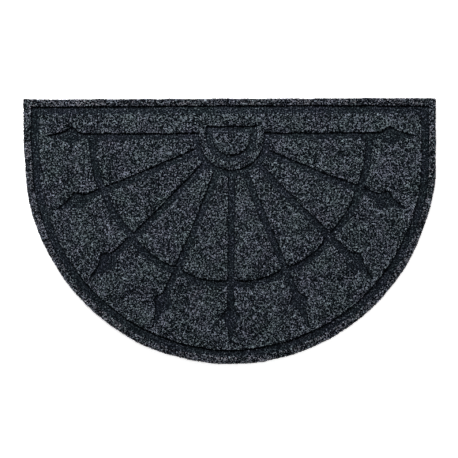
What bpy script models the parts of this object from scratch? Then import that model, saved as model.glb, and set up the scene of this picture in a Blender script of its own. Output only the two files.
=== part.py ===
"""Half-round doormat: one piece of thick needled felt with a fanlight pattern pressed into its face.

Metres, +Z up. The underside lies at z = 0, with the origin under the middle of the outline's box.
The straight edge, which goes against the door, is on the +Y side and the round edge on the -Y side.
"""

from collections import namedtuple
from math import cos, pi, radians, sin

import bmesh
import bpy
from mathutils import Vector

WIDTH = 0.700
DEPTH = 0.450
THICKNESS = 0.007
RADIUS = WIDTH / 2
CORNER_RADIUS = 0.003
CORNER_STEPS = 4
ROUND_STEPS = 72

# The felt's edge seen in section, from the underside up: how far in from the outline, and how high.
EDGE_PROFILE = (
    (0.0006, 0.0),
    (0.0, 0.0008),
    (0.0, 0.0048),
    (0.0004, 0.0060),
    (0.0012, 0.0067),
    (0.0024, THICKNESS),
)

# Every groove is a strip pressed to one depth, with sloping walls. The one inside the rim is a little wider.
GROOVE_WIDTH = 0.0127
RIM_GROOVE_WIDTH = 0.0139
GROOVE_DEPTH = 0.0025
WALL_RUN = 0.0012
HALF_GROOVE = GROOVE_WIDTH / 2
FLOOR = THICKNESS - GROOVE_DEPTH
CUT_ABOVE = 0.001
NARROWEST_FLOOR = 0.0001

RIM_WIDTH = 0.0115

# The fan's centre, and the raised pad at its hub.
FAN_CENTRE = Vector((0.0, 0.161))
CROSS_BAR_Y = 0.164
PAD_RADIUS = 0.0376
PAD_CENTRE_Y = 0.163
PAD_TOP_Y = 0.175
PAD_STEPS = 20
HUB_RADIUS = 0.061
HUB_STEPS = 28

# One row for each spoke from the side to the foot, the same on the left and the right. ring is where the
# scalloped ring crosses the spoke, bulge how far the scallop after it swells, and shoulder and point are
# the widest place and the end of its spearhead. All but the angle are measured from the fan's centre.
Spoke = namedtuple("Spoke", "degrees ring bulge shoulder point")
SPOKES = (
    Spoke(0.0, 0.235, 0.0015, 0.2710, 0.317),
    Spoke(22.5, 0.236, 0.0020, 0.2820, 0.325),
    Spoke(45.0, 0.238, 0.0055, 0.2970, 0.342),
    Spoke(67.5, 0.243, 0.0060, 0.3015, 0.351),
    Spoke(90.0, 0.246, 0.0, 0.3045, 0.354),
)
SCALLOP_STEPS = 8
SCALLOP_SQUARENESS = 3

# The spearhead's half width along the spoke, beyond its shoulder. It then tapers to its point.
Spear = namedtuple("Spear", "beyond half_width")
SPEAR = (
    Spear(-0.017, HALF_GROOVE),
    Spear(-0.012, 0.0085),
    Spear(-0.007, 0.0130),
    Spear(-0.003, 0.0158),
    Spear(0.0, 0.0168),
    Spear(0.004, 0.0150),
    Spear(0.008, 0.0118),
    Spear(0.013, 0.0098),
    Spear(0.019, 0.0070),
    Spear(0.026, 0.0050),
)
POINT_HALF_WIDTH = 0.0004

FELT_COLOUR = (0.036, 0.041, 0.049, 1.0)
FELT_ROUGHNESS = 0.95


def clear_scene():
    for thing in list(bpy.data.objects):
        bpy.data.objects.remove(thing)


def felt_material():
    material = bpy.data.materials.new("felt")
    material.use_nodes = True
    shader = material.node_tree.nodes["Principled BSDF"]
    shader.inputs["Base Color"].default_value = FELT_COLOUR
    shader.inputs["Roughness"].default_value = FELT_ROUGHNESS
    shader.inputs["Metallic"].default_value = 0.0
    material.diffuse_color = FELT_COLOUR
    return material


def arc(centre, radius, start, end, steps):
    """Points along an arc, both ends with it. Angles are in radians, anticlockwise from +X."""
    angles = [start + (end - start) * step / steps for step in range(steps + 1)]
    return [centre + radius * Vector((cos(angle), sin(angle))) for angle in angles]


def outline(inset, corner_radius):
    """The half-round outline, drawn in by inset, anticlockwise from the left end of its half circle."""
    top = DEPTH / 2 - inset
    side = WIDTH / 2 - inset
    round_centre = Vector((0.0, RADIUS - DEPTH / 2))
    points = arc(round_centre, RADIUS - inset, pi, 2 * pi, ROUND_STEPS)
    for corner_x, start in ((side, 0.0), (-side, pi / 2)):
        towards_middle = -corner_radius if corner_x > 0 else corner_radius
        centre = Vector((corner_x + towards_middle, top - corner_radius))
        points += arc(centre, corner_radius, start, start + pi / 2, CORNER_STEPS)
    return points


def join_rings(bm, lower, upper):
    """Side faces between two rings of points that run anticlockwise, one above the other."""
    for index in range(len(lower)):
        after = (index + 1) % len(lower)
        bm.faces.new((lower[index], lower[after], upper[after], upper[index]))


def mesh_object(name, bm):
    bmesh.ops.triangulate(bm, faces=bm.faces[:])
    bmesh.ops.recalc_face_normals(bm, faces=bm.faces[:])
    mesh = bpy.data.meshes.new(name)
    bm.to_mesh(mesh)
    bm.free()
    thing = bpy.data.objects.new(name, mesh)
    bpy.context.scene.collection.objects.link(thing)
    return thing


def felt_slab(name):
    """The cut felt before pressing: its outline at each height of the edge's section, closed above and below."""
    bm = bmesh.new()
    rings = []
    for inset, height in EDGE_PROFILE:
        points = outline(inset, CORNER_RADIUS - inset)
        rings.append([bm.verts.new((point.x, point.y, height)) for point in points])
    for lower, upper in zip(rings, rings[1:]):
        join_rings(bm, lower, upper)
    bm.faces.new(reversed(rings[0]))
    bm.faces.new(rings[-1])
    return mesh_object(name, bm)


def side_step(path, index, closed):
    """The vector from a point of the path to its left, long enough that a strip one wide keeps its width."""
    here = path[index]
    before = path[index - 1] if index or closed else None
    after = path[(index + 1) % len(path)] if index + 1 < len(path) or closed else None
    along = []
    if before is not None:
        along.append((here - before).normalized())
    if after is not None:
        along.append((after - here).normalized())
    left = [Vector((-way.y, way.x)) for way in along]
    if len(left) == 1:
        return left[0]
    middle = (left[0] + left[1]).normalized()
    return middle / middle.dot(left[0])


def groove(name, path, half_widths, closed=False):
    """A cutter for one groove: a strip along the path whose section narrows towards its floor."""
    bm = bmesh.new()
    sections = []
    slope = WALL_RUN / GROOVE_DEPTH
    for index, (point, half) in enumerate(zip(path, half_widths)):
        left = side_step(path, index, closed)
        depth = min(GROOVE_DEPTH, half / slope)
        floor_half = max(half - WALL_RUN, NARROWEST_FLOOR)
        mouth_half = half + CUT_ABOVE * slope
        corners = (
            (mouth_half, THICKNESS + CUT_ABOVE),
            (floor_half, THICKNESS - depth),
            (-floor_half, THICKNESS - depth),
            (-mouth_half, THICKNESS + CUT_ABOVE),
        )
        places = [(point + left * across, height) for across, height in corners]
        sections.append([bm.verts.new((place.x, place.y, height)) for place, height in places])
    for first, second in zip(sections, sections[1:]):
        join_rings(bm, first, second)
    if closed:
        join_rings(bm, sections[-1], sections[0])
    else:
        bm.faces.new(reversed(sections[0]))
        bm.faces.new(sections[-1])
    cutter = mesh_object(name, bm)
    cutter.hide_render = True
    cutter.display_type = "WIRE"
    return cutter


def plain_groove(name, path, closed=False):
    return groove(name, path, [HALF_GROOVE] * len(path), closed)


def rim_groove():
    """Runs all the way round, inside the raised rim, with square corners at the straight edge."""
    half_width = RIM_GROOVE_WIDTH / 2
    inset = RIM_WIDTH + half_width
    path = outline(inset, 0.0)[: ROUND_STEPS + 1]
    top = DEPTH / 2 - inset
    path += [Vector((path[-1].x, top)), Vector((path[0].x, top))]
    return groove("rim_groove", path, [half_width] * len(path), closed=True)


def pad_groove():
    """Outlines the pad at the hub: a half circle with short upright sides and a straight top."""
    path = arc(Vector((0.0, PAD_CENTRE_Y)), PAD_RADIUS, pi, 2 * pi, PAD_STEPS)
    path += [Vector((PAD_RADIUS, PAD_TOP_Y)), Vector((-PAD_RADIUS, PAD_TOP_Y))]
    return plain_groove("pad_groove", path, closed=True)


def hub_groove():
    """Hangs under the hub's raised ring, from one arm of the cross bar to the other."""
    end_y = CROSS_BAR_Y + HALF_GROOVE
    path = [Vector((-HUB_RADIUS, end_y))]
    path += arc(FAN_CENTRE, HUB_RADIUS, pi, 2 * pi, HUB_STEPS)
    path.append(Vector((HUB_RADIUS, end_y)))
    return plain_groove("hub_groove", path)


def fan_point(degrees, radius):
    """A place on the fan: 0 degrees is the right arm of the cross bar, 90 the spoke at the foot."""
    angle = radians(degrees)
    return FAN_CENTRE + radius * Vector((cos(angle), -sin(angle)))


def whole_fan():
    """Each spoke's own angle beside its row of the table, from the right side round to the left."""
    right = [(spoke.degrees, spoke) for spoke in SPOKES]
    left = [(180.0 - spoke.degrees, spoke) for spoke in reversed(SPOKES[:-1])]
    return right + left


def spoke_groove(number, degrees, spoke):
    """A spoke with its spearhead. Its floor stays level until the two walls meet, near the point."""
    last = SPEAR[-1]
    walls_meet = (last.half_width - WALL_RUN) / (last.half_width - POINT_HALF_WIDTH)
    taper_start = spoke.shoulder + last.beyond
    taper = [taper_start + (spoke.point - taper_start) * walls_meet, spoke.point]
    radii = [HUB_RADIUS] + [spoke.shoulder + row.beyond for row in SPEAR] + taper
    half_widths = [HALF_GROOVE] + [row.half_width for row in SPEAR] + [WALL_RUN, POINT_HALF_WIDTH]
    path = [fan_point(degrees, radius) for radius in radii]
    if spoke.degrees == 0.0:
        path = [Vector((point.x, CROSS_BAR_Y)) for point in path]
    return groove(f"spoke_groove_{number}", path, half_widths)


def scallop_groove(number, start_degrees, start, end_degrees, end):
    """One span of the ring, from a spoke to the next, swelling outwards between them."""
    bulge = start.bulge if start.degrees < end.degrees else end.bulge
    path = []
    for step in range(SCALLOP_STEPS + 1):
        along = step / SCALLOP_STEPS
        swell = bulge * (1 - abs(2 * along - 1) ** SCALLOP_SQUARENESS)
        radius = start.ring + (end.ring - start.ring) * along + swell
        path.append(fan_point(start_degrees + (end_degrees - start_degrees) * along, radius))
    return plain_groove(f"scallop_groove_{number}", path)


def all_grooves():
    fan = whole_fan()
    grooves = [rim_groove(), pad_groove(), hub_groove()]
    for number, (degrees, spoke) in enumerate(fan):
        grooves.append(spoke_groove(number, degrees, spoke))
    for number, ((start_degrees, start), (end_degrees, end)) in enumerate(zip(fan, fan[1:])):
        grooves.append(scallop_groove(number, start_degrees, start, end_degrees, end))
    return grooves


def press(mat, cutters):
    """Cuts all the grooves out of the felt in one live Boolean."""
    tools = bpy.data.collections.new("grooves")
    bpy.context.scene.collection.children.link(tools)
    for cutter in cutters:
        bpy.context.scene.collection.objects.unlink(cutter)
        tools.objects.link(cutter)
    pressed = mat.modifiers.new("pressed pattern", "BOOLEAN")
    pressed.operation = "DIFFERENCE"
    pressed.operand_type = "COLLECTION"
    pressed.collection = tools
    pressed.solver = "EXACT"
    pressed.use_self = True


def main():
    clear_scene()
    mat = felt_slab("mat")
    mat.data.materials.append(felt_material())
    press(mat, all_grooves())


main()
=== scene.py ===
"""The looks of the half-round doormat: heathered needle felt under its loose fibres, in a plain white studio.

Metres, +Z up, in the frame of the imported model. The mat lies on z = 0 with its straight edge on the +Y side.
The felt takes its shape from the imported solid, softened and made as uneven as the real mat, and fibres of
five shades are needled all over it.
"""

from collections import namedtuple
from math import cos, pi, radians, sin

import bpy
import numpy as np
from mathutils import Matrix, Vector
from mathutils.bvhtree import BVHTree
from mathutils.geometry import delaunay_2d_cdt
from mathutils.kdtree import KDTree


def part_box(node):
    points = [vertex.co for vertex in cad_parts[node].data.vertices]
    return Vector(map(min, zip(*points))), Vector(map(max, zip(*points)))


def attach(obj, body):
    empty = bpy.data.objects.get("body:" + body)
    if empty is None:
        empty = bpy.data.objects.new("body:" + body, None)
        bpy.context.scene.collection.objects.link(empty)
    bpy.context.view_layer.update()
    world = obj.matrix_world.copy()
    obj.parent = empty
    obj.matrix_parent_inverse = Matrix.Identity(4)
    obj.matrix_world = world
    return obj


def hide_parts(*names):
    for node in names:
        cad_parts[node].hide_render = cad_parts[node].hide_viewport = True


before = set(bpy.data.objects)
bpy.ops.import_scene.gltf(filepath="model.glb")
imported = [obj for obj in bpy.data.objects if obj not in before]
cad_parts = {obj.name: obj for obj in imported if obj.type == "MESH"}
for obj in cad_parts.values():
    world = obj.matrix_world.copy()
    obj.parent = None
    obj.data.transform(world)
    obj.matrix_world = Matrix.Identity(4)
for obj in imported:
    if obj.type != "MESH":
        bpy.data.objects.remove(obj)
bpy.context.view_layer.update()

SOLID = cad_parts["mat"]
LOW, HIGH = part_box("mat")
WIDTH = HIGH.x - LOW.x
DEPTH = HIGH.y - LOW.y
RADIUS = WIDTH / 2
ROUND_CENTRE_Y = LOW.y + RADIUS
SIDE = HIGH.y - ROUND_CENTRE_Y
HALF_ROUND = pi * RADIUS

# The real mat is a little out of true. Soft pulls move parts of it aside: the middle of each pull, how far
# it reaches to each side and up and down, and how far it moves the felt to the right and up.
Pull = namedtuple("Pull", "x y reach_x reach_y right up")
PULLS = (
    # The straight edge and the lines along it.
    Pull(0.275, 0.225, 0.20, 0.015, -0.0003, 0.0017),
    Pull(0.050, 0.230, 0.40, 0.010, 0.0, 0.0006),
    Pull(0.055, 0.206, 0.20, 0.015, -0.0002, 0.0028),
    Pull(0.080, 0.198, 0.30, 0.006, 0.0, -0.0012),
    Pull(-0.165, 0.176, 0.20, 0.015, 0.0005, -0.0023),
    Pull(0.200, 0.164, 0.10, 0.020, 0.0, -0.0007),
    # The fan.
    Pull(0.055, 0.150, 0.05, 0.05, 0.0012, -0.0005),
    Pull(0.220, 0.105, 0.05, 0.05, 0.0001, 0.0023),
    Pull(-0.055, 0.100, 0.04, 0.04, 0.0005, -0.0006),
    Pull(0.166, 0.092, 0.03, 0.03, -0.0003, -0.0009),
    Pull(0.076, 0.085, 0.05, 0.05, -0.0008, -0.0009),
    Pull(-0.110, 0.060, 0.13, 0.13, 0.0026, 0.0005),
    Pull(0.275, 0.060, 0.08, 0.08, 0.0018, 0.0008),
    Pull(-0.110, 0.015, 0.08, 0.08, 0.0012, -0.0021),
    Pull(0.110, 0.015, 0.08, 0.08, -0.0014, -0.0010),
    Pull(0.165, -0.075, 0.13, 0.13, 0.0015, -0.0009),
    Pull(-0.110, -0.120, 0.25, 0.25, 0.0002, -0.0014),
    # The round edge and the groove along it.
    Pull(-0.330, 0.150, 0.08, 0.08, -0.0010, -0.0005),
    Pull(-0.342, 0.038, 0.014, 0.030, -0.0016, 0.0),
    Pull(0.331, -0.010, 0.012, 0.028, -0.0015, 0.0004),
    Pull(0.000, -0.200, 0.10, 0.006, 0.0, -0.0016),
    Pull(0.000, -0.212, 0.10, 0.006, 0.0, 0.0012),
    Pull(-0.005, -0.230, 0.035, 0.008, 0.0, 0.0009),
)

# The mat's left side flares towards the corner, over these stretches, and all its lines wander: in waves that
# move them this far, this many for each way of moving, and of lengths between these two.
CORNER_FLARE = 0.0032
FLARE_UP = (0.115, 0.210)
FLARE_ACROSS = (0.318, 0.350)
WANDER = 0.000175
WANDER_WAVES = 7
WANDER_LENGTHS = (0.040, 0.090)

# The mat's rim is this wide, and its outline's edge is rounded over this far in.
RIM_WIDTH = 0.0115
RIM_EDGE = 0.004

# Heights are read by looking down from this far above the mat. Corners that agree to this many digits of a
# metre are one, levels this close are the same, and a place this near the outline is on it.
LOOK_FROM = 0.1
DIGITS = 6
SAME_LEVEL = 1e-5
ON_OUTLINE = 1e-4

# The felt turns along the solid's lines: bends of more than this many degrees on its upper side, where a
# normal points up by this much at least. The felt's points lie this far apart along a line.
LINE_ANGLE = 10
LEAST_UPWARD = 0.1
LINE_STEP = 0.0022

# A row of points lies this far to each side of a line. A point of the row is left out where less than this
# share of that distance is free round it.
SHOULDER = 0.0009
SHOULDER_CLEAR = 0.9

# The felt's other points are strewn at this pitch, this far from the rows, and this unevenly, as a share of
# the pitch. Lines that come this close cross.
FELT_PITCH = 0.0029
FELT_CLEAR = 0.0014
FELT_JITTER = 0.2
CROSSING = 1e-7

# The lips and feet of the grooves are softened by this share. Tufts stand on the felt: this high as a rule,
# this high at most, and only this share as high in the grooves.
SOFTEN_SHARE = 0.15
TUFT_HEIGHT = 0.00022
TUFT_MOST = 0.00044
TUFT_IN_GROOVE = 0.4

# The felt's sides have a row of points at each of these levels and one on the ground, which lies this far in.
# Its underside has points at this pitch.
SIDE_LEVELS = (0.0028, 0.0008)
UNDER_EDGE_IN = 0.0006
UNDER_PITCH = 0.006

# The grooves are darker away from the fan's middle: not at all at the first of these distances, and fully at
# the second.
FAN_Y = 0.161
FAR_GROOVE_DISTANCES = (0.09, 0.30)

# The felt's map: its face across the whole width of the square, with the sides folded out into a border round
# it, and its underside smaller above it.
MAP_NAME = "OFBake"
MAP_EDGE = 0.008
MOST_FOLDED = 0.9
FOLD_NEAR = 1e-3
UNDER_SCALE = 0.5

# The ground that the fibres lie on is read on a grid: this far apart, and this far beyond the outline too. A
# place is kept this many steps short of the grid's size, so that it has a grid point on each side. Near the
# outline the ground is taken to be this high at least.
GRID_STEP = 0.00075
GRID_EDGE = 0.006
GRID_END = 1.001
EDGE_TOP = 0.0048

# Fibres of the field keep to where the ground is no lower than this under the top, and reach this far past
# the outline. Those of the grooves keep to where it is no higher than the same drop above the floor.
LIP_DROP = 0.0004
OVERHANG = 0.0008

# The grooves' lower and right lips are pressed less sharply: some fibres stray past them, by as much as this
# to the left and up. No fibre strays as far as CLOSED.
STRAY = (-0.0005, 0.0017)
STRAY_STEPS = 3
CLOSED = 1.0

# A fibre is a small closed spindle: a point, two rings of three corners, and a point.
STEPS = np.array([-0.5, -0.19, 0.19, 0.5])
RINGS = len(STEPS) - 2
RING = 3
CORNERS = 2 + RING * RINGS
RING_ANGLES = np.radians([90, 210, 330])
FLATNESS = 0.6

# Its ends are rooted this deep, and it arches by a share of its lay's arch between these two. One that bends
# by less than LEAST_BEND comes out shorter, and none bends by more than MOST_BEND.
ROOT = 0.0003
ARCH_SHARES = (0.2, 1.0)
LEAST_BEND = 0.01
MOST_BEND = 2.6

# Fibres are strewn this unevenly, as a share of their pitch. One that strays is turned and cut shorter, up to
# this many times, before it is left out.
FIBRE_JITTER = 0.5
TRIES = 12
SHORTER = 0.94

# What the fibres are like in each part of the mat. Lengths and widths are in metres, bends in radians.
Lay = namedtuple("Lay", "pitch length width bend arch spread")
FIELD = Lay(0.00197, (0.0018, 0.0040), (0.0006, 0.00095), 1.3, 0.0010, 0.0009)
GROOVE = Lay(0.0028, (0.0020, 0.0040), (0.0005, 0.0008), 0.9, 0.0001, 0.0001)
EDGE = Lay(0.00240, (0.0022, 0.0048), (0.0006, 0.0010), 1.3, 0.0011, 0.0008)
EDGE_SLANT = 0.6

# How far in the edge lies at each height, and the lowest that a fibre on it lies.
EDGE_HEIGHTS = (0.0, 0.0008, 0.0048, 0.0060, 0.0067)
EDGE_INSETS = (0.0006, 0.0, 0.0, 0.0004, 0.0012)
EDGE_LOWEST = 0.00024

# Fibres of a shade lie in small clumps: how far apart these are, and how much they set a fibre's shade. Those
# in the grooves lie apart, and have shades between these two.
CLUMP_PITCH = 0.0022
CLUMP_SHARE = 0.85
GROOVE_SHADES = (0.06, 0.58)

# Shade and tint also change slowly, in patches this long, by these shares.
PATCH_WAVES = 12
PATCH_LENGTHS = (0.024, 0.090)
PATCH_SHADE = 0.14
PATCH_TINT = 0.13

# Each fibre takes its shade and its tint from its own cell of a map, and keeps this share clear of the cell's
# borders. Fibres of the rim have other tints than those of the field.
SHADE_CELLS = 32
TINT_CELLS = 8
CELL_EDGE = 0.12
FIELD_TINT = (0.05, 0.40)
RIM_TINT = (0.65, 1.0)

# The five shades of fibre in the blend: how dark the darkest and how pale the palest of each is.
Blend = namedtuple("Blend", "name darkest palest")
BLEND = (
    Blend("fibres_black", 0.0, 0.2),
    Blend("fibres_slate", 0.2, 0.4),
    Blend("fibres_grey", 0.4, 0.6),
    Blend("fibres_ash", 0.6, 0.8),
    Blend("fibres_pale", 0.8, 1.0),
)

# The shades of the fibre blend, from its darkest to its palest, as linear colours.
SHADES = (
    (0.00, (0.0006, 0.0014, 0.0028)),
    (0.25, (0.0027, 0.0047, 0.0079)),
    (0.50, (0.0184, 0.0245, 0.0332)),
    (0.75, (0.1180, 0.1460, 0.1820)),
    (1.00, (0.6100, 0.7000, 0.8200)),
)

# The tints that a shade is multiplied by: a little green, a little purple, and the rim's warmer one.
TINTS = (
    (0.00, (0.94, 1.03, 0.94)),
    (0.45, (1.06, 0.975, 1.07)),
    (1.00, (1.18, 1.00, 0.96)),
)

# How much each part of the felt's grain shows: its mottle, its strands, its pale curls and its dark gaps.
Grain = namedtuple("Grain", "mottle strand pale_curl dark_gap")

# The felt between its fibres and in its grooves: how pale it is, its grain, and how rough it is. Grooves far
# from the fan's middle are darker by the shade after them.
Felt_Look = namedtuple("Felt_Look", "shade grain roughness")
LOOSE = Felt_Look(0.00, Grain(6.0, 0.08, 0.20, -0.20), 0.95)
PRESSED = Felt_Look(0.352, Grain(2.2, 0.07, 0.14, -0.14), 0.75)
FAR_GROOVE_SHADE = 0.05

# Painted shade on the grooves' walls: how much darker they are, and how steeply that comes in on a wall. It
# goes on past the foot of a wall as a painted shadow in the crease, where a lip lies one of these two ways
# from there, towards the key lamp.
PAINTED_WALL_SHADE = 0.34
PAINTED_SHADE_STEEP = 4.0
HALF_PRESSED = 0.5
LAMP_SIDE_LIP_WAYS = ((-0.0011, 0.0006), (0.0006, 0.0011))

# The noises that the felt's grain and its slow change of tint are made of, and the middle of their values.
Noise = namedtuple("Noise", "detail roughness distortion")
MOTTLE_NOISE = Noise(1.5, 0.5, 0.6)
STRAND_NOISE = Noise(1.0, 0.5, 2.0)
CURL_NOISE = Noise(1.0, 0.5, 1.6)
TINT_NOISE = Noise(1.0, 0.5, 0.0)
NOISE_MIDDLE = 0.5

# How fine the grain is, how much finer its strands are, how thin its strands and curls are, how high these
# stand as a share of the mottle, and how strong and how high the whole relief is.
FELT_GRAIN = 430.0
STRAND_FINER = 2.8
STRAND_THIN = 7.0
CURL_THIN = 13.0
LINE_HEIGHT = 0.5
BUMP_STRENGTH = 0.8
BUMP_HEIGHT = 0.0006

# How fine the felt's patches of tint are, their middle tint and its spread.
FELT_PATCHES = 22.0
FELT_TINT = 0.22
FELT_TINT_SPREAD = 1.2

# How much felt and fibres shine, and how rough a fibre is. A fibre has this many fine streaks along it, which
# change its shade by this much.
FELT_SHINE = 0.05
FIBRE_SHINE = 0.08
FIBRE_ROUGHNESS = 0.6
STREAKS = 5
STREAK_SHADE = 0.03

# A mix node's sockets for two colours and their mix.
MIX_FIRST, MIX_SECOND, MIX_RESULT = 6, 7, 2

# The lamps are aimed at the mat's middle: how far off, how many degrees up and how many degrees to the left
# of the door's side each stands. The sky adds a little light from everywhere.
Lamp = namedtuple("Lamp", "name distance height turn size power")
LAMPS = (
    Lamp("key", 3.0, 36, 18, 0.36, 122),
    Lamp("fill", 1.6, 45, -80, 0.80, 2.2),
)
SKY = 0.06

WHITE = (1.0, 1.0, 1.0, 1.0)

# The floor is a wide white sheet just under the mat, and glows.
FLOOR_SIZE = 40
FLOOR_LEVEL = -0.0003
FLOOR_COLOUR = (0.9, 0.9, 0.9, 1.0)
FLOOR_ROUGHNESS = 0.9
FLOOR_GLOW = 0.9

# The camera looks straight down, a little left of the mat's middle and beyond it, as the photo was framed.
CAMERA = (-0.00247, 0.00426, 1.8506)
LENS = 85
SENSOR = 36

rng = np.random.default_rng(2418)


def smooth_step(value, start, end):
    """A share that rises smoothly from 0 at the start to 1 at the end."""
    share = np.clip((value - start) / (end - start), 0, 1)
    return share * share * (3 - 2 * share)


def unit(vectors):
    """The vectors made one long. One of no length stays so."""
    lengths = np.linalg.norm(vectors, axis=-1, keepdims=True)
    return vectors / np.where(lengths > 0, lengths, 1)


def inset(x, y):
    """How far in from the mat's outline each place lies."""
    straight = np.minimum(RADIUS - np.abs(x), HIGH.y - y)
    around = RADIUS - np.hypot(x, y - ROUND_CENTRE_Y)
    return np.where(y < ROUND_CENTRE_Y, around, straight)


def outline(along):
    """The place on the outline this far along it, from the straight edge's right end, and the way out."""
    angle = np.clip((along - SIDE) / RADIUS, 0, pi)
    out_x, out_y = np.cos(angle), -np.sin(angle)
    straight = along > 2 * SIDE + HALF_ROUND
    x = np.where(straight, along - 2 * SIDE - HALF_ROUND - RADIUS, RADIUS * out_x)
    up = np.where(along < SIDE, SIDE - along, np.clip(along - SIDE - HALF_ROUND, 0, SIDE))
    y = ROUND_CENTRE_Y + RADIUS * out_y + up
    return x, y, np.where(straight, 0, out_x), np.where(straight, 1, out_y)


def wander_waves():
    """A few long waves in every direction, one set for each way of moving: their wave vectors and starts."""
    lengths = rng.uniform(*WANDER_LENGTHS, (2, WANDER_WAVES))
    ways = rng.uniform(0, 2 * pi, (2, WANDER_WAVES))
    starts = rng.uniform(0, 2 * pi, (2, WANDER_WAVES))
    return 2 * pi / lengths * np.cos(ways), 2 * pi / lengths * np.sin(ways), starts


WAVES = wander_waves()


def uneven(places):
    """The places moved sideways as the real mat is out of true."""
    x, y = places[:, 0], places[:, 1]
    moved = places.copy()
    for pull in PULLS:
        share = np.exp(-((x - pull.x) / pull.reach_x) ** 2 - ((y - pull.y) / pull.reach_y) ** 2)
        moved[:, 0] += pull.right * share
        moved[:, 1] += pull.up * share
    flare_up = np.clip((y - FLARE_UP[0]) / (FLARE_UP[1] - FLARE_UP[0]), 0, 1)
    moved[:, 0] -= CORNER_FLARE * flare_up * smooth_step(-x, *FLARE_ACROSS)
    for axis in (0, 1):
        across, up, start = (part[axis] for part in WAVES)
        moved[:, axis] += WANDER * np.sin(np.outer(x, across) + np.outer(y, up) + start).sum(1)
    return moved


def scattered(pitch, jitter):
    """Places over the mat's box on a triangular grid, each moved at random by up to jitter pitches."""
    row_step = pitch * sin(radians(60))
    rows = np.arange(LOW.y, HIGH.y + row_step, row_step)
    columns = np.arange(LOW.x, HIGH.x + pitch, pitch)
    x, y = np.meshgrid(columns, rows)
    x = x + pitch / 2 * (np.arange(len(rows)) % 2)[:, None]
    x = x + rng.uniform(-jitter, jitter, x.shape) * pitch
    y = y + rng.uniform(-jitter, jitter, y.shape) * pitch
    return x.ravel(), y.ravel()


def joined_solid():
    """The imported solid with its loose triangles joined: its corners, and each triangle's three of them."""
    mesh = SOLID.data
    places = np.zeros(len(mesh.vertices) * 3)
    mesh.vertices.foreach_get("co", places)
    corners = np.zeros(len(mesh.polygons) * 3, int)
    mesh.polygons.foreach_get("vertices", corners)
    joined, which = np.unique(np.round(places.reshape(-1, 3), DIGITS), axis=0, return_inverse=True)
    return joined, which.ravel()[corners].reshape(-1, 3)


def floor_of(places):
    """The height of the grooves' floor: of the lowest corner inside the face."""
    inside = (inset(places[:, 0], places[:, 1]) > RIM_EDGE) & (places[:, 2] > 0)
    return places[inside, 2].min()


def sides_of(triangles):
    """The triangles' first sides, then their second and their third ones, as pairs of corners."""
    return np.concatenate([triangles[:, [0, 1]], triangles[:, [1, 2]], triangles[:, [2, 0]]])


def bend_lines(places, triangles):
    """The solid's edges where its upper side bends: the grooves' lips and feet, and the outline's rings."""
    a, b, c = (places[triangles[:, corner]] for corner in range(3))
    normals = unit(np.cross(b - a, c - a))
    edges = np.sort(sides_of(triangles), axis=1)
    faces = np.tile(np.arange(len(triangles)), 3)
    order = np.lexsort((edges[:, 1], edges[:, 0]))
    edges, faces = edges[order], faces[order]
    first, second = normals[faces[0::2]], normals[faces[1::2]]
    bends = (first * second).sum(1) < cos(radians(LINE_ANGLE))
    faces_up = np.maximum(first[:, 2], second[:, 2]) > LEAST_UPWARD
    return edges[0::2][bends & faces_up]


def cut_lines(places, lines):
    """The lines cut into short steps: their points, and the steps as pairs of points."""
    points, steps, known = [], [], {}

    def number(point):
        key = tuple(np.round(point, DIGITS))
        if key not in known:
            known[key] = len(points)
            points.append(key)
        return known[key]

    for start, end in places[lines]:
        count = max(1, int(np.ceil(np.hypot(*(end - start)[:2]) / LINE_STEP)))
        row = [number(start + (end - start) * step / count) for step in range(count + 1)]
        steps += [pair for pair in zip(row, row[1:]) if pair[0] != pair[1]]
    return np.array(points), np.array(steps)


def tree_of(places):
    """The places as seen from above, ready to be searched."""
    tree = KDTree(len(places))
    for index, place in enumerate(places):
        tree.insert((place[0], place[1], 0.0), index)
    tree.balance()
    return tree


def clear_of(tree, x, y, distance):
    """Which places are at least this far from every point in the tree."""
    return np.array([tree.find((px, py, 0.0))[2] >= distance for px, py in zip(x, y)])


def heights(bvh, x, y):
    """The solid's height at each place, or 0 beside it."""
    down = Vector((0, 0, -1))
    above = HIGH.z + LOOK_FROM
    hits = (bvh.ray_cast(Vector((px, py, above)), down)[0] for px, py in zip(x, y))
    return np.array([0.0 if hit is None else hit.z for hit in hits])


def shoulders(points, steps, bvh, floor):
    """A row of points beside each lip and foot, so that the felt turns over them in a small curve."""
    start, end = points[steps[:, 0], :2], points[steps[:, 1], :2]
    middle = (start + end) / 2
    along = unit(end - start)
    left = np.stack([-along[:, 1], along[:, 0]], 1) * SHOULDER
    beside = np.concatenate([middle + left, middle - left])
    clear = clear_of(tree_of(points), *beside.T, SHOULDER * SHOULDER_CLEAR)
    beside = beside[clear & (inset(*beside.T) > SHOULDER / 2)]
    height = heights(bvh, *beside.T)
    level = (np.abs(height - HIGH.z) < SAME_LEVEL) | (np.abs(height - floor) < SAME_LEVEL)
    return np.column_stack([beside, height])[level]


def triangulated(places, steps, bvh):
    """Triangles over all the places, seen from above, that keep to the steps: their corners, and the numbers.

    Where two steps cross there is a corner more, on the solid.
    """
    flat = [Vector(place[:2]) for place in places]
    spots, _, triangles, origins, _, _ = delaunay_2d_cdt(flat, steps.tolist(), [], 0, CROSSING)
    corners = []
    for spot, origin in zip(spots, origins):
        corners.append(places[origin[0]] if origin else (*spot, heights(bvh, [spot.x], [spot.y])[0]))
    return np.array(corners), np.array(triangles)


def softened(z, triangles):
    """The heights evened with their neighbours', which rounds each lip and fills each foot a little."""
    pairs = sides_of(triangles)
    pairs = np.concatenate([pairs, pairs[:, ::-1]])
    count = np.maximum(np.bincount(pairs[:, 0], minlength=len(z)), 1)
    mean = np.bincount(pairs[:, 0], z[pairs[:, 1]], minlength=len(z)) / count
    return z + SOFTEN_SHARE * (mean - z)


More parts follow.
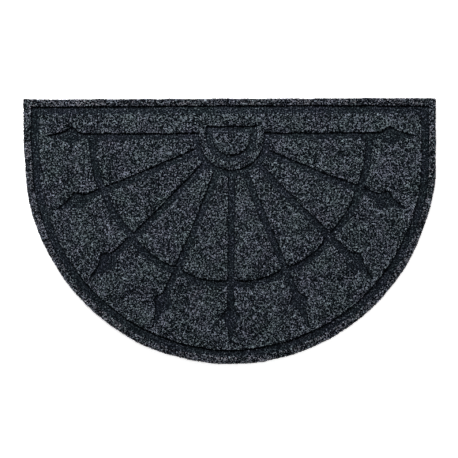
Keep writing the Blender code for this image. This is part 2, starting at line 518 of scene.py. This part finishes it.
def felt_face(bvh, places, triangles, floor):
    """The felt's upper side: its corners with small tufts, and its triangles.

    With them come, for each corner, how far it is pressed and how much painted crease shadow it takes below a
    lip that stands towards the key lamp.
    """
    points, steps = cut_lines(places, bend_lines(places, triangles))
    lines = np.concatenate([points, shoulders(points, steps, bvh, floor)])
    x, y = scattered(FELT_PITCH, FELT_JITTER)
    inside = inset(x, y) > FELT_CLEAR
    x, y = x[inside], y[inside]
    free = clear_of(tree_of(lines), x, y, FELT_CLEAR)
    x, y = x[free], y[free]
    top = np.concatenate([lines, np.column_stack([x, y, heights(bvh, x, y)])])
    top, faces = triangulated(top, steps, bvh)
    x, y, z = top.T
    within = inset(x, y)
    pressed = np.clip((HIGH.z - z) / (HIGH.z - floor), 0, 1)
    pressed[within < RIM_EDGE] = 0
    # Painted shadow: a pressed corner below a lip that stands towards the key lamp takes a dark crease, deeper
    # the higher the lip stands over it.
    lamp_side_lips = np.max([heights(bvh, x + right, y + up) for right, up in LAMP_SIDE_LIP_WAYS], axis=0)
    painted_crease_shadow = pressed * np.clip((lamp_side_lips - z) / (HIGH.z - floor), 0, 1)
    tufts = rng.normal(0, TUFT_HEIGHT, len(top)).clip(-TUFT_MOST, TUFT_MOST)
    tufts *= 1 - (1 - TUFT_IN_GROOVE) * pressed
    top[:, 2] = np.where(within < ON_OUTLINE, z, softened(z, faces) + tufts)
    return top, faces, pressed, painted_crease_shadow


def add_piece(mesh):
    """A piece with this mesh, shaded smooth, in the scene."""
    mesh.shade_smooth()
    piece = bpy.data.objects.new(mesh.name, mesh)
    bpy.context.scene.collection.objects.link(piece)
    return piece


def felt_sides(top, ring):
    """Rows of corners down the felt's sides, from the ring of its outline to the ground, and their faces."""
    ways_out = unit(top[ring, :2] - (0, ROUND_CENTRE_Y))
    rows, faces, above = [], [], ring
    for height, inwards in [(level, 0.0) for level in SIDE_LEVELS] + [(0.0, UNDER_EDGE_IN)]:
        below = len(top) + len(ring) * len(rows) + np.arange(len(ring))
        rows.append(np.column_stack([top[ring, :2] - ways_out * inwards, np.full(len(ring), height)]))
        faces += np.stack([below, np.roll(below, -1), np.roll(above, -1), above], 1).tolist()
        above = below
    return rows, faces


def make_felt(bvh, places, triangles, floor):
    """The mat's felt as one closed sheet on the solid's shape."""
    top, faces, pressed, painted_crease_shadow = felt_face(bvh, places, triangles, floor)
    ring = np.flatnonzero(np.abs(inset(top[:, 0], top[:, 1])) < ON_OUTLINE)
    ring = ring[np.argsort(np.arctan2(top[ring, 1] - ROUND_CENTRE_Y, top[ring, 0]))]
    rows, sides = felt_sides(top, ring)
    x, y = scattered(UNDER_PITCH, FELT_JITTER)
    inside = inset(x, y) > UNDER_PITCH / 2
    under = np.column_stack([x[inside], y[inside], np.zeros(inside.sum())])
    under, under_faces = triangulated(np.concatenate([rows[-1], under]), np.zeros((0, 2), int), bvh)
    under_faces = under_faces[:, ::-1] + len(top) + len(ring) * len(rows)
    corners = np.concatenate([top] + rows + [under])
    mesh = bpy.data.meshes.new("felt")
    mesh.from_pydata(uneven(corners).tolist(), [], faces.tolist() + sides + under_faces.tolist())
    far_groove_dark = pressed * smooth_step(np.hypot(top[:, 0], top[:, 1] - FAN_Y), *FAR_GROOVE_DISTANCES)
    # Each top corner keeps how far it is pressed, how much its groove darkens away from the fan's middle, and
    # how much painted crease shadow it takes.
    for name, on_top in (("pressed", pressed), ("far_groove_dark", far_groove_dark), ("painted_crease_shadow", painted_crease_shadow)):
        values = np.zeros(len(corners), np.float32)
        values[:len(top)] = on_top
        mesh.attributes.new(name, "FLOAT", "POINT").data.foreach_set("value", values)
    lay_map(mesh, corners, len(faces) + len(sides))
    return add_piece(mesh)


def lay_map(mesh, places, upper_faces):
    """A flat map of the felt: the face with its sides folded out around it, and the underside apart."""
    x, y, z = places.T
    out = unit(places[:, :2] - (0, ROUND_CENTRE_Y))
    folded = np.where(np.abs(inset(x, y)) < FOLD_NEAR, HIGH.z - z, 0)
    size = WIDTH + 2 * MAP_EDGE
    above = places[:, :2] + out * np.minimum(folded, MAP_EDGE * MOST_FOLDED)[:, None]
    above -= (LOW.x - MAP_EDGE, LOW.y - MAP_EDGE)
    below = (places[:, :2] - (LOW.x, LOW.y)) * UNDER_SCALE
    below[:, 1] += DEPTH + 2 * MAP_EDGE
    corners = np.zeros(len(mesh.loops), int)
    mesh.loops.foreach_get("vertex_index", corners)
    starts = np.zeros(len(mesh.polygons), int)
    mesh.polygons.foreach_get("loop_start", starts)
    under_start = starts[upper_faces]
    on_map = above[corners] / size
    on_map[under_start:] = below[corners[under_start:]] / size
    write_map(mesh, on_map)


def write_map(mesh, on_map):
    """The mesh's map, from the place of each corner of each face on it."""
    layer = mesh.uv_layers.new(name=MAP_NAME)
    layer.uv.foreach_set("vector", on_map.astype(np.float32).ravel())


# Grids over the mat's box: the ground's height, and how far a fibre of the field or of the grooves must stray
# to lie there: 0 where it is at home, and CLOSED where it may not lie.
Ground = namedtuple("Ground", "height field grooves")


def ground_grids(bvh, floor):
    """The ground as the solid has it, and where the fibres may lie on it."""
    columns = np.arange(LOW.x - GRID_EDGE, HIGH.x + GRID_EDGE, GRID_STEP)
    rows = np.arange(LOW.y - GRID_EDGE, HIGH.y + GRID_EDGE, GRID_STEP)
    x, y = np.meshgrid(columns, rows)
    within = inset(x, y)
    height = heights(bvh, x.ravel(), y.ravel()).reshape(x.shape)
    height = np.maximum(height, EDGE_TOP * (within < RIM_EDGE))
    raised = (height > HIGH.z - LIP_DROP) | (within < RIM_EDGE)
    low = (height < floor + LIP_DROP) & (within > RIM_EDGE)
    field = np.where(raised, 0, CLOSED)
    for share in np.arange(1, STRAY_STEPS + 1) / STRAY_STEPS:
        column, row = (round(share * way / GRID_STEP) for way in STRAY)
        near = np.roll(raised, (row, column), (0, 1))
        field = np.minimum(field, np.where(near, share * np.hypot(*STRAY), CLOSED))
    return Ground(height, np.where(within > -OVERHANG, field, CLOSED), np.where(low, 0, CLOSED))


def grid_place(grid, x, y):
    """Where each place lies among the grid's columns and rows, and never past the last of them."""
    across = np.clip((x - LOW.x + GRID_EDGE) / GRID_STEP, 0, grid.shape[1] - GRID_END)
    up = np.clip((y - LOW.y + GRID_EDGE) / GRID_STEP, 0, grid.shape[0] - GRID_END)
    return across, up


def read_nearest(grid, x, y):
    """The grid's value nearest to each place."""
    across, up = grid_place(grid, x, y)
    return grid[np.round(up).astype(int), np.round(across).astype(int)]


def read_between(grid, x, y):
    """The grid's value at each place, evened between its four neighbours."""
    across, up = grid_place(grid, x, y)
    column, row = across.astype(int), up.astype(int)
    fx, fy = across - column, up - row
    lower = grid[row, column] * (1 - fx) + grid[row, column + 1] * fx
    upper = grid[row + 1, column] * (1 - fx) + grid[row + 1, column + 1] * fx
    return lower * (1 - fy) + upper * fy


def curls(x, y, heading, length, bend):
    """The points along each fibre, seen from above: an arc that turns by bend in all."""
    turn = bend[:, None] * STEPS
    safe = np.where(np.abs(bend) < LEAST_BEND, LEAST_BEND, bend)[:, None]
    along = np.sin(turn) / safe * length[:, None]
    across = (1 - np.cos(turn)) / safe * length[:, None]
    cosine, sine = np.cos(heading)[:, None], np.sin(heading)[:, None]
    return x[:, None] + along * cosine - across * sine, y[:, None] + along * sine + across * cosine


def drawn(lay, count):
    """A random length and bend for each fibre of a lay, and how far it stands off the ground along it."""
    length = rng.uniform(*lay.length, count)
    bend = np.clip(rng.normal(0, lay.bend, count), -MOST_BEND, MOST_BEND)
    crest = 1 - (2 * STEPS) ** 2
    high = rng.uniform(0, 1, count) * lay.spread + rng.uniform(*ARCH_SHARES, count) * lay.arch
    return length, bend, high[:, None] * crest - ROOT * (1 - crest)


def spindles(lay, paths, ups):
    """The corners of each fibre's spindle round its path, moved as the felt is."""
    half_width = rng.uniform(*lay.width, len(paths)) / 2
    tangents = unit(paths[:, 2:] - paths[:, :-2])
    side = unit(np.cross(ups[:, None, :], tangents))
    up = np.cross(tangents, side)
    corners = np.empty((len(paths), CORNERS, 3))
    corners[:, 0] = paths[:, 0]
    corners[:, -1] = paths[:, -1]
    for ring in range(RINGS):
        for corner, angle in enumerate(RING_ANGLES):
            wide = (half_width * cos(angle))[:, None] * side[:, ring]
            high = (half_width * FLATNESS * sin(angle))[:, None] * up[:, ring]
            corners[:, 1 + ring * RING + corner] = paths[:, 1 + ring] + wide + high
    return uneven(corners.reshape(-1, 3)).reshape(corners.shape)


def laid(lay, height, closed):
    """Fibres all over where they may lie, each turned until it keeps to it: their corners and middles."""
    x, y = scattered(lay.pitch, FIBRE_JITTER)
    stray = rng.uniform(0, np.hypot(*STRAY), len(x))
    inside = read_nearest(closed, x, y) <= stray
    x, y, stray = x[inside], y[inside], stray[inside]
    heading = rng.uniform(0, 2 * pi, len(x))
    length, bend, off = drawn(lay, len(x))
    for _ in range(TRIES):
        px, py = curls(x, y, heading, length, bend)
        astray = read_nearest(closed, px, py).max(1) > stray
        heading[astray] = rng.uniform(0, 2 * pi, astray.sum())
        length[astray] *= SHORTER
    kept = ~astray
    px, py = px[kept], py[kept]
    paths = np.stack([px, py, read_between(height, px, py) + off[kept]], 2)
    ups = np.tile([0.0, 0.0, 1.0], (len(paths), 1))
    return spindles(lay, paths, ups), x[kept], y[kept]


def laid_on_edge(lay):
    """Fibres over the edge of the felt, most of them along it: their corners and middles."""
    around = 2 * SIDE + HALF_ROUND + WIDTH
    count = int(around * HIGH.z / (lay.pitch**2 * sin(radians(60))))
    length, bend, off = drawn(lay, count)
    heading = rng.normal(0, EDGE_SLANT, count) + pi * rng.integers(0, 2, count)
    start = rng.uniform(0, around, count)
    along, z = curls(start, rng.uniform(0, HIGH.z, count), heading, length, bend)
    z = np.clip(z, EDGE_LOWEST, EDGE_HEIGHTS[-1])
    x, y, out_x, out_y = outline(along % around)
    out = off - np.interp(z, EDGE_HEIGHTS, EDGE_INSETS)
    paths = np.stack([x + out * out_x, y + out * out_y, z], 2)
    middle_x, middle_y, middle_out_x, middle_out_y = outline(start)
    ups = np.stack([middle_out_x, middle_out_y, np.zeros(count)], 1)
    return spindles(lay, paths, ups), middle_x, middle_y


def spindle_faces():
    """One spindle's faces as corner numbers, each with its corners' places across and along the fibre."""
    faces = []
    last = CORNERS - 1
    top = last - RING
    low, high = STEPS[1] - STEPS[0], STEPS[-2] - STEPS[0]
    for corner in range(RING):
        after = (corner + 1) % RING
        left, right = corner / RING, (corner + 1) / RING
        middle = (left + right) / 2
        faces.append(((0, 1 + after, 1 + corner), (middle, 0.0), (right, low), (left, low)))
        faces.append((
            (1 + corner, 1 + after, top + after, top + corner),
            (left, low), (right, low), (right, high), (left, high),
        ))
        faces.append(((top + corner, top + after, last), (left, high), (right, high), (middle, 1.0)))
    return faces


def make_fibres(name, corners, shade, tint):
    """One piece of many fibres, each mapped to the cell of its own shade and tint."""
    faces = spindle_faces()
    count = len(corners)
    loops = np.concatenate([np.array(face[0]) for face in faces])
    sizes = np.array([len(face[0]) for face in faces])
    places = np.concatenate([np.array(face[1:]) for face in faces])
    mesh = bpy.data.meshes.new(name)
    mesh.vertices.add(count * CORNERS)
    mesh.vertices.foreach_set("co", corners.astype(np.float32).ravel())
    all_loops = (np.arange(count)[:, None] * CORNERS + loops).ravel()
    mesh.loops.add(len(all_loops))
    mesh.loops.foreach_set("vertex_index", all_loops.astype(np.int32))
    starts = np.concatenate([[0], np.cumsum(np.tile(sizes, count))[:-1]])
    mesh.polygons.add(len(starts))
    mesh.polygons.foreach_set("loop_start", starts.astype(np.int32))
    mesh.update(calc_edges=True)
    mesh.validate()
    cell_x = np.minimum((shade * SHADE_CELLS).astype(int), SHADE_CELLS - 1)
    cell_y = np.clip((tint * TINT_CELLS).astype(int), 0, TINT_CELLS - 1)
    inner = CELL_EDGE + (1 - 2 * CELL_EDGE) * places
    on_map = np.stack([
        (cell_x[:, None] + inner[None, :, 0]) / SHADE_CELLS,
        (cell_y[:, None] + inner[None, :, 1]) / TINT_CELLS,
    ], 2)
    write_map(mesh, on_map)
    return add_piece(mesh)


def patches(x, y):
    """A smooth random value at each place, spread about as widely as a normal one."""
    waves = 2 * pi / rng.uniform(*PATCH_LENGTHS, PATCH_WAVES)
    ways = rng.uniform(0, 2 * pi, PATCH_WAVES)
    starts = rng.uniform(0, 2 * pi, PATCH_WAVES)
    turns = np.outer(x, waves * np.cos(ways)) + np.outer(y, waves * np.sin(ways)) + starts
    return np.sin(turns).sum(1) * (2 / PATCH_WAVES) ** 0.5


def clumped(x, y):
    """Each fibre's place in the blend, from 0 for the darkest to 1 for the palest, alike within a clump."""
    across = np.round((x - LOW.x + GRID_EDGE) / CLUMP_PITCH).astype(int)
    up = np.round((y - LOW.y + GRID_EDGE) / CLUMP_PITCH).astype(int)
    clumps = rng.normal(0, 1, (up.max() + 1, across.max() + 1))
    mixed = CLUMP_SHARE * clumps[up, across] + (1 - CLUMP_SHARE) * rng.normal(0, 1, len(x))
    return np.argsort(np.argsort(mixed + PATCH_SHADE * patches(x, y))) / len(x)


def make_pile(bvh, floor, fibre):
    """All the fibres: over the field and the rim, over the edge and, fewer and flatter, in the grooves."""
    ground = ground_grids(bvh, floor)
    field, field_x, field_y = laid(FIELD, ground.height, ground.field)
    edge, edge_x, edge_y = laid_on_edge(EDGE)
    grooves, groove_x, groove_y = laid(GROOVE, ground.height, ground.grooves)
    corners = np.concatenate([field, edge, grooves])
    x, y = np.concatenate([field_x, edge_x]), np.concatenate([field_y, edge_y])
    shade = np.concatenate([clumped(x, y), rng.uniform(*GROOVE_SHADES, len(grooves))]) * len(BLEND)
    x, y = np.concatenate([x, groove_x]), np.concatenate([y, groove_y])
    low, high = (np.where(inset(x, y) < RIM_WIDTH, *pair) for pair in zip(RIM_TINT, FIELD_TINT))
    tint = low + (high - low) * rng.uniform(0, 1, len(x)) + PATCH_TINT * patches(x, y)
    pieces = []
    for number, blend in enumerate(BLEND):
        mine = shade.astype(int) == number
        piece = make_fibres(blend.name, corners[mine], shade[mine] - number, tint[mine])
        piece.data.materials.append(fibre_material(blend, fibre))
        pieces.append(piece)
    return pieces


def new_group(name, inputs, outputs):
    """An empty shader node group with named sockets: its tree, and the nodes where they come in and go out.

    Each socket is given as its name and its kind.
    """
    tree = bpy.data.node_groups.new(name, "ShaderNodeTree")
    for way, sockets in (("INPUT", inputs), ("OUTPUT", outputs)):
        for label, kind in sockets:
            tree.interface.new_socket(name=label, in_out=way, socket_type="NodeSocket" + kind)
    return tree, tree.nodes.new("NodeGroupInput"), tree.nodes.new("NodeGroupOutput")


def maths(tree, operation, first, second=None, clamp=False):
    """The result of a maths node on one or two values, each a linked socket or a plain number."""
    node = tree.nodes.new("ShaderNodeMath")
    node.operation = operation
    node.use_clamp = clamp
    for socket, value in zip(node.inputs, (first, second)):
        if isinstance(value, bpy.types.NodeSocket):
            tree.links.new(value, socket)
        elif value is not None:
            socket.default_value = value
    return node.outputs[0]


def noise(tree, where, scale, kind):
    """The outputs of a noise of this kind, read at the linked places, at a linked or a plain scale."""
    node = tree.nodes.new("ShaderNodeTexNoise")
    for name, value in zip(("Detail", "Roughness", "Distortion"), kind):
        node.inputs[name].default_value = value
    tree.links.new(where, node.inputs["Vector"])
    if isinstance(scale, bpy.types.NodeSocket):
        tree.links.new(scale, node.inputs["Scale"])
    else:
        node.inputs["Scale"].default_value = scale
    return node.outputs


def ramp(tree, value, colours):
    """The colour at a linked value along a row of placed colours."""
    node = tree.nodes.new("ShaderNodeValToRGB")
    stops = node.color_ramp.elements
    while len(stops) < len(colours):
        stops.new(0.5)
    for stop, (place, colour) in zip(stops, colours):
        stop.position = place
        stop.color = (*colour, 1.0)
    tree.links.new(value, node.inputs["Fac"])
    return node.outputs["Color"]


def heather_group():
    """Turns a shade from 0 to 1 into the blend's colour, and tints it a little."""
    tree, into, out = new_group(
        "heather",
        [("Shade", "Float"), ("Tint", "Float")],
        [("Color", "Color")],
    )
    tinted = tree.nodes.new("ShaderNodeMix")
    tinted.data_type = "RGBA"
    tinted.blend_type = "MULTIPLY"
    tinted.inputs["Factor"].default_value = 1.0
    tree.links.new(ramp(tree, into.outputs["Shade"], SHADES), tinted.inputs[MIX_FIRST])
    tree.links.new(ramp(tree, into.outputs["Tint"], TINTS), tinted.inputs[MIX_SECOND])
    tree.links.new(tinted.outputs[MIX_RESULT], out.inputs["Color"])
    return tree


def grain_group():
    """Fine needled grain: the parts that make a spot paler or darker, and how high the spot stands."""
    parts = ("Mottle", "Strand", "Pale curl", "Dark gap", "Height")
    tree, into, out = new_group(
        "needled grain",
        [("Vector", "Vector"), ("Scale", "Float")],
        [(part, "Float") for part in parts],
    )
    where, scale = into.outputs["Vector"], into.outputs["Scale"]

    def lines(value, thin):
        """A mask of curling lines, where the noise is near its middle."""
        off = maths(tree, "ABSOLUTE", maths(tree, "SUBTRACT", value, NOISE_MIDDLE))
        return maths(tree, "SUBTRACT", 1.0, maths(tree, "MULTIPLY", off, thin), clamp=True)

    def raised(height, value):
        return maths(tree, "ADD", height, maths(tree, "MULTIPLY", value, LINE_HEIGHT))

    coarse = noise(tree, where, scale, MOTTLE_NOISE)["Fac"]
    fine = noise(tree, where, maths(tree, "MULTIPLY", scale, STRAND_FINER), STRAND_NOISE)["Fac"]
    curly = noise(tree, where, scale, CURL_NOISE)["Color"]
    apart = tree.nodes.new("ShaderNodeSeparateColor")
    tree.links.new(curly, apart.inputs["Color"])
    mottle = maths(tree, "SUBTRACT", coarse, NOISE_MIDDLE)
    strand = lines(fine, STRAND_THIN)
    pale = lines(apart.outputs["Green"], CURL_THIN)
    dark = lines(apart.outputs["Blue"], CURL_THIN)
    height = raised(raised(coarse, strand), maths(tree, "SUBTRACT", pale, dark))
    for part, value in zip(parts, (mottle, strand, pale, dark, height)):
        tree.links.new(value, out.inputs[part])
    return tree


def new_material(name):
    material = bpy.data.materials.new(name)
    material.use_nodes = True
    return material, material.node_tree, material.node_tree.nodes["Principled BSDF"]


def group_node(tree, group):
    node = tree.nodes.new("ShaderNodeGroup")
    node.node_tree = group
    return node


def felt_attribute(tree, name):
    """The value that the felt's corners hold under this name."""
    node = tree.nodes.new("ShaderNodeAttribute")
    node.attribute_name = name
    return node.outputs["Fac"]


def felt_material(heather, grain):
    """The felt itself: salt and pepper on its face, and smoother, paler and finer where it was pressed. Its
    grooves darken away from the fan's middle, and their walls and the creases below lips towards the key lamp
    carry painted shade.
    """
    material, tree, shader = new_material("needled felt")
    where = tree.nodes.new("ShaderNodeTexCoord").outputs["Object"]
    pressed, far_groove_dark, painted_crease_shadow = (felt_attribute(tree, name) for name in ("pressed", "far_groove_dark", "painted_crease_shadow"))
    grains = group_node(tree, grain)
    grains.inputs["Scale"].default_value = FELT_GRAIN
    tree.links.new(where, grains.inputs["Vector"])

    def between(loose, down):
        """The loose felt's value, turning into the pressed felt's one."""
        return maths(tree, "ADD", loose, maths(tree, "MULTIPLY", pressed, down - loose))

    # Painted shade on the walls: a wall is half pressed, so the folded share is 0 on the top and on the floor,
    # and highest half way down. The painted crease shadow below lips towards the key lamp adds to it.
    wall_painted_shade = maths(tree, "PINGPONG", pressed, HALF_PRESSED)
    wall_painted_shade = maths(tree, "MULTIPLY", wall_painted_shade, PAINTED_SHADE_STEEP, clamp=True)
    wall_painted_shade = maths(tree, "MAXIMUM", wall_painted_shade, painted_crease_shadow)
    # Darker far from the fan's middle, and by the painted shade of walls and creases.
    far_and_painted_darkening = maths(tree, "MULTIPLY", far_groove_dark, FAR_GROOVE_SHADE)
    far_and_painted_darkening = maths(tree, "ADD", far_and_painted_darkening, maths(tree, "MULTIPLY", wall_painted_shade, PAINTED_WALL_SHADE))
    shade = maths(tree, "SUBTRACT", between(LOOSE.shade, PRESSED.shade), far_and_painted_darkening)
    for part, loose, down in zip(grains.outputs, LOOSE.grain, PRESSED.grain):
        shade = maths(tree, "ADD", shade, maths(tree, "MULTIPLY", part, between(loose, down)))
    slow = maths(tree, "SUBTRACT", noise(tree, where, FELT_PATCHES, TINT_NOISE)["Fac"], NOISE_MIDDLE)
    tint = maths(tree, "ADD", maths(tree, "MULTIPLY", slow, FELT_TINT_SPREAD), FELT_TINT)
    colours = group_node(tree, heather)
    tree.links.new(shade, colours.inputs["Shade"])
    tree.links.new(tint, colours.inputs["Tint"])
    tree.links.new(colours.outputs["Color"], shader.inputs["Base Color"])
    tree.links.new(between(LOOSE.roughness, PRESSED.roughness), shader.inputs["Roughness"])
    bump = tree.nodes.new("ShaderNodeBump")
    bump.inputs["Strength"].default_value = BUMP_STRENGTH
    bump.inputs["Distance"].default_value = BUMP_HEIGHT
    tree.links.new(grains.outputs["Height"], bump.inputs["Height"])
    tree.links.new(bump.outputs["Normal"], shader.inputs["Normal"])
    shader.inputs["Specular IOR Level"].default_value = FELT_SHINE
    return material


def fibre_group(heather):
    """Reads a fibre's cell of the map: its colour from the cell, with fine streaks along the fibre."""
    tree, into, out = new_group(
        "fibre shade",
        [("UV", "Vector"), ("Darkest", "Float"), ("Palest", "Float")],
        [("Color", "Color")],
    )
    split = tree.nodes.new("ShaderNodeSeparateXYZ")
    tree.links.new(into.outputs["UV"], split.inputs[0])
    across = maths(tree, "MULTIPLY", split.outputs["X"], float(SHADE_CELLS))
    up = maths(tree, "MULTIPLY", split.outputs["Y"], float(TINT_CELLS))
    cell = maths(tree, "DIVIDE", maths(tree, "FLOOR", across), float(SHADE_CELLS - 1))
    tint = maths(tree, "DIVIDE", maths(tree, "FLOOR", up), float(TINT_CELLS - 1))
    reach = maths(tree, "SUBTRACT", into.outputs["Palest"], into.outputs["Darkest"])
    shade = maths(tree, "ADD", into.outputs["Darkest"], maths(tree, "MULTIPLY", cell, reach))
    streak = maths(tree, "SINE", maths(tree, "MULTIPLY", maths(tree, "FRACT", across), 2 * pi * STREAKS))
    shade = maths(tree, "ADD", shade, maths(tree, "MULTIPLY", streak, STREAK_SHADE), clamp=True)
    colours = group_node(tree, heather)
    tree.links.new(shade, colours.inputs["Shade"])
    tree.links.new(tint, colours.inputs["Tint"])
    tree.links.new(colours.outputs["Color"], out.inputs["Color"])
    return tree


def fibre_material(blend, fibre):
    material, tree, shader = new_material(blend.name)
    own_map = tree.nodes.new("ShaderNodeUVMap")
    own_map.uv_map = MAP_NAME
    colours = group_node(tree, fibre)
    colours.inputs["Darkest"].default_value = blend.darkest
    colours.inputs["Palest"].default_value = blend.palest
    tree.links.new(own_map.outputs["UV"], colours.inputs["UV"])
    tree.links.new(colours.outputs["Color"], shader.inputs["Base Color"])
    shader.inputs["Roughness"].default_value = FIBRE_ROUGHNESS
    shader.inputs["Specular IOR Level"].default_value = FIBRE_SHINE
    return material


def make_floor():
    bpy.ops.mesh.primitive_plane_add(size=FLOOR_SIZE, location=(0, 0, FLOOR_LEVEL))
    floor = bpy.context.object
    floor.name = "floor"
    material, _, shader = new_material("white floor")
    shader.inputs["Base Color"].default_value = FLOOR_COLOUR
    shader.inputs["Roughness"].default_value = FLOOR_ROUGHNESS
    shader.inputs["Emission Color"].default_value = WHITE
    shader.inputs["Emission Strength"].default_value = FLOOR_GLOW
    floor.data.materials.append(material)


def make_world():
    """An even white sky that lights softly, and that the camera sees as plain white."""
    world = bpy.data.worlds.new("studio")
    bpy.context.scene.world = world
    world.use_nodes = True
    tree = world.node_tree
    backdrop = tree.nodes["Background"]
    path = tree.nodes.new("ShaderNodeLightPath")
    strength = maths(tree, "ADD", maths(tree, "MULTIPLY", path.outputs["Is Camera Ray"], 1.0 - SKY), SKY)
    tree.links.new(strength, backdrop.inputs["Strength"])
    backdrop.inputs["Color"].default_value = WHITE


def make_lamps():
    for row in LAMPS:
        light = bpy.data.lights.new(row.name, "AREA")
        light.shape = "SQUARE"
        light.size = row.size
        light.energy = row.power
        lamp = bpy.data.objects.new(row.name, light)
        height, turn = radians(row.height), radians(row.turn)
        way = Vector((-sin(turn) * cos(height), cos(turn) * cos(height), sin(height)))
        lamp.location = way * row.distance
        lamp.rotation_euler = way.to_track_quat("Z", "Y").to_euler()
        bpy.context.scene.collection.objects.link(lamp)


def make_camera():
    data = bpy.data.cameras.new("camera")
    data.lens = LENS
    data.sensor_width = SENSOR
    camera = bpy.data.objects.new("camera", data)
    camera.location = CAMERA
    bpy.context.scene.collection.objects.link(camera)
    bpy.context.scene.camera = camera
    bpy.context.scene.view_settings.view_transform = "Standard"


def main():
    make_camera()
    heather = heather_group()
    places, triangles = joined_solid()
    floor = floor_of(places)
    bvh = BVHTree.FromPolygons(places.tolist(), triangles.tolist())
    felt = make_felt(bvh, places, triangles, floor)
    felt.data.materials.append(felt_material(heather, grain_group()))
    pile = make_pile(bvh, floor, fibre_group(heather))
    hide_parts("mat")
    for piece in [felt] + pile:
        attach(piece, "root")
    make_floor()
    make_world()
    make_lamps()


main()
